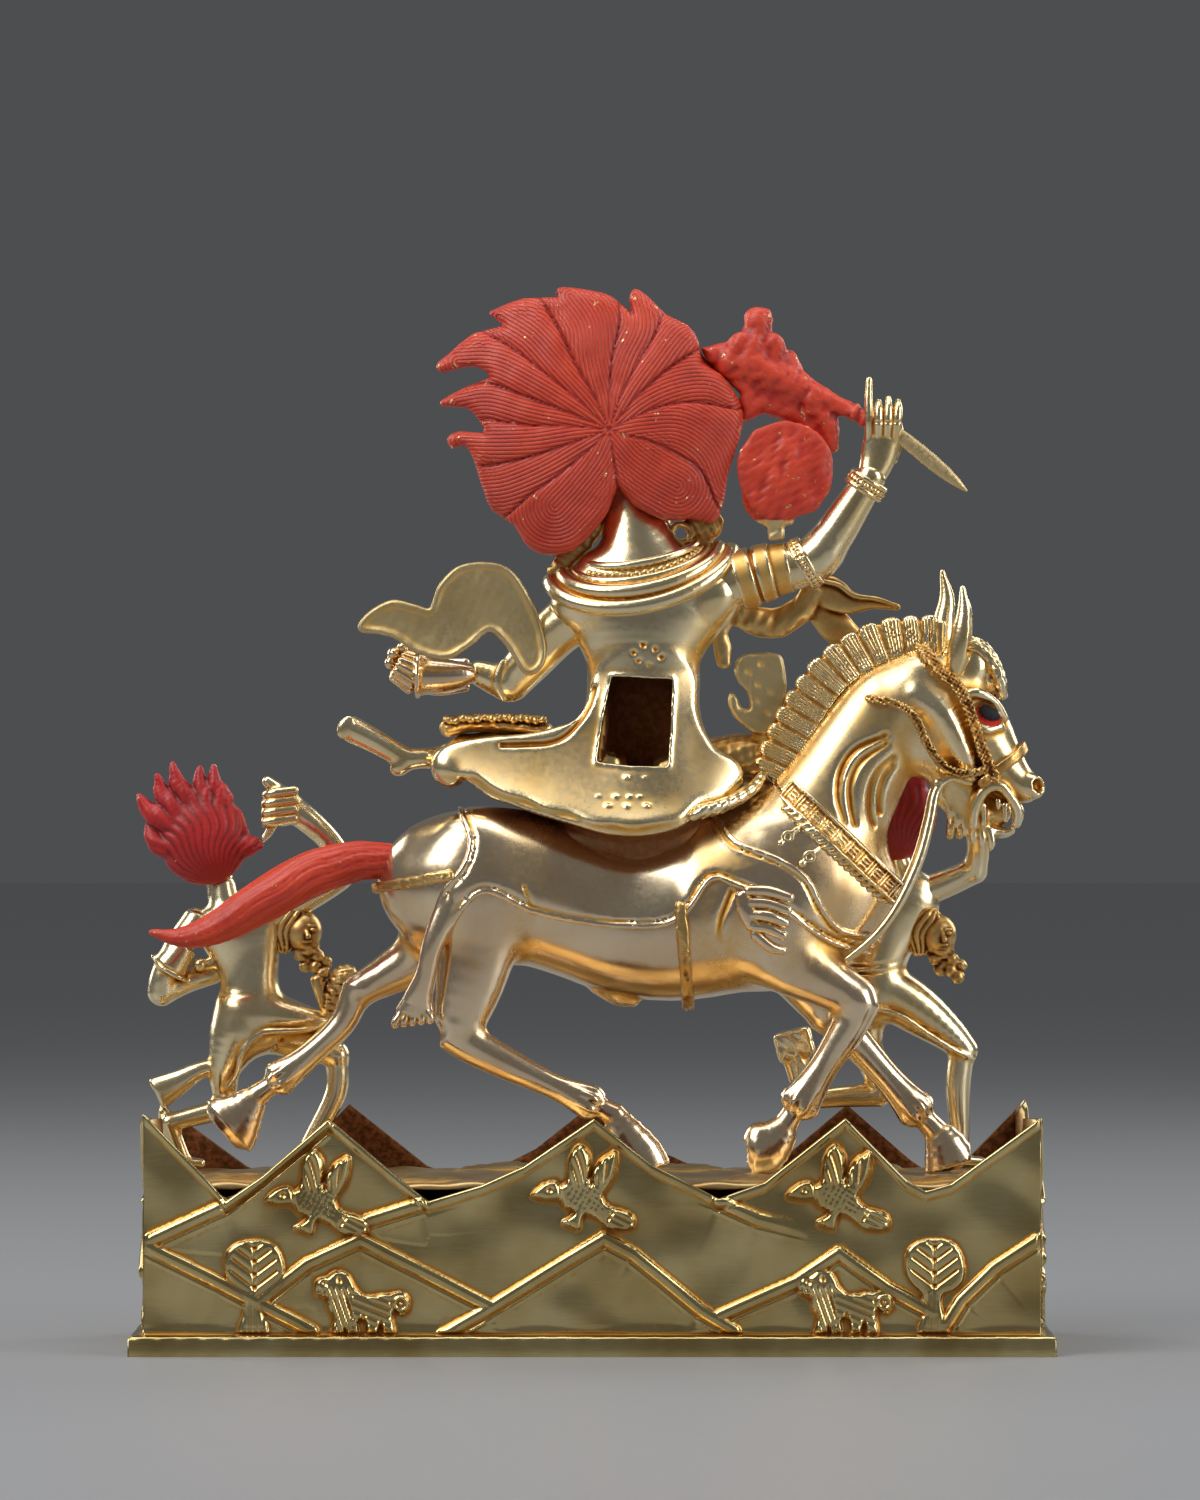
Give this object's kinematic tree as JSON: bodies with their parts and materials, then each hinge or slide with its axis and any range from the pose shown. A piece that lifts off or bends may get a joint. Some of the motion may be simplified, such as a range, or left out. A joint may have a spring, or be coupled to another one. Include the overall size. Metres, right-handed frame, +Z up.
{
  "type": "buddhist deity statue",
  "caption": "Gilt copper statue of a protector goddess riding a mule, with flaming red hair and attendants, on a mountain-walled base.",
  "frame": {"origin": "middle of the base's underside", "axes": "+Z up; +X the way the mule walks; +Y from the rider's back to the chest, so the statue's back faces -Y"},
  "size_m": [0.291, 0.112, 0.3386],
  "materials": {
    "gilding": "fire-gilt copper, burnished, with brown patina left in the hollows",
    "rose_gilding": "thin gilding over copper, polished to a rosy gold",
    "antique_gilding": "unburnished gilding over brown copper",
    "vermilion_paint": "matt cold paint with small chips down to the gold",
    "crimson_paint": "dark matt cold paint"
  },
  "bodies": {
    "root": {"rear_wall": "gilding", "right_wall": "gilding", "front_wall": "gilding", "left_wall": "gilding", "ground_plate": "antique_gilding", "mule_body": "rose_gilding", "near_hind_leg": "rose_gilding", "far_hind_leg": "rose_gilding", "near_fore_leg": "rose_gilding", "far_fore_leg": "rose_gilding", "tail": "vermilion_paint", "breast_collar": "gilding", "headstall": "gilding", "noseband": "gilding", "mane": "gilding", "near_ear": "gilding", "far_ear": "gilding", "forelock": "gilding", "girth_strap": "antique_gilding", "crupper_strap": "antique_gilding", "flayed_skin": "rose_gilding", "near_rein": "gilding", "far_rein": "gilding", "rider_torso": "gilding", "rider_skirt": "gilding", "shoulder_shawl": "gilding", "shawl_beads": "gilding", "rider_head": "gilding", "skull_crown": "gilding", "flame_hair": "vermilion_paint", "left_earring": "antique_gilding", "right_earring": "antique_gilding", "right_arm": "gilding", "armlet": "gilding", "bracelet": "gilding", "club": "vermilion_paint", "right_hand": "gilding", "flame_disc": "vermilion_paint", "left_arm": "gilding", "skull_cup": "gilding", "left_scarf": "gilding", "right_scarf": "antique_gilding", "left_leg": "gilding", "right_leg": "antique_gilding", "thigh_fringe": "antique_gilding", "curled_end": "antique_gilding", "rear_attendant": "gilding", "rear_attendant_head": "gilding", "rear_attendant_hair": "crimson_paint", "rear_raised_arm": "gilding", "rear_low_arm": "gilding", "rear_severed_head": "antique_gilding", "fur_tassel": "antique_gilding", "front_attendant": "gilding", "front_attendant_head": "gilding", "front_attendant_hair": "crimson_paint", "front_raised_arm": "gilding", "front_low_arm": "gilding", "front_severed_head": "antique_gilding"}
  },
  "joints": []
}
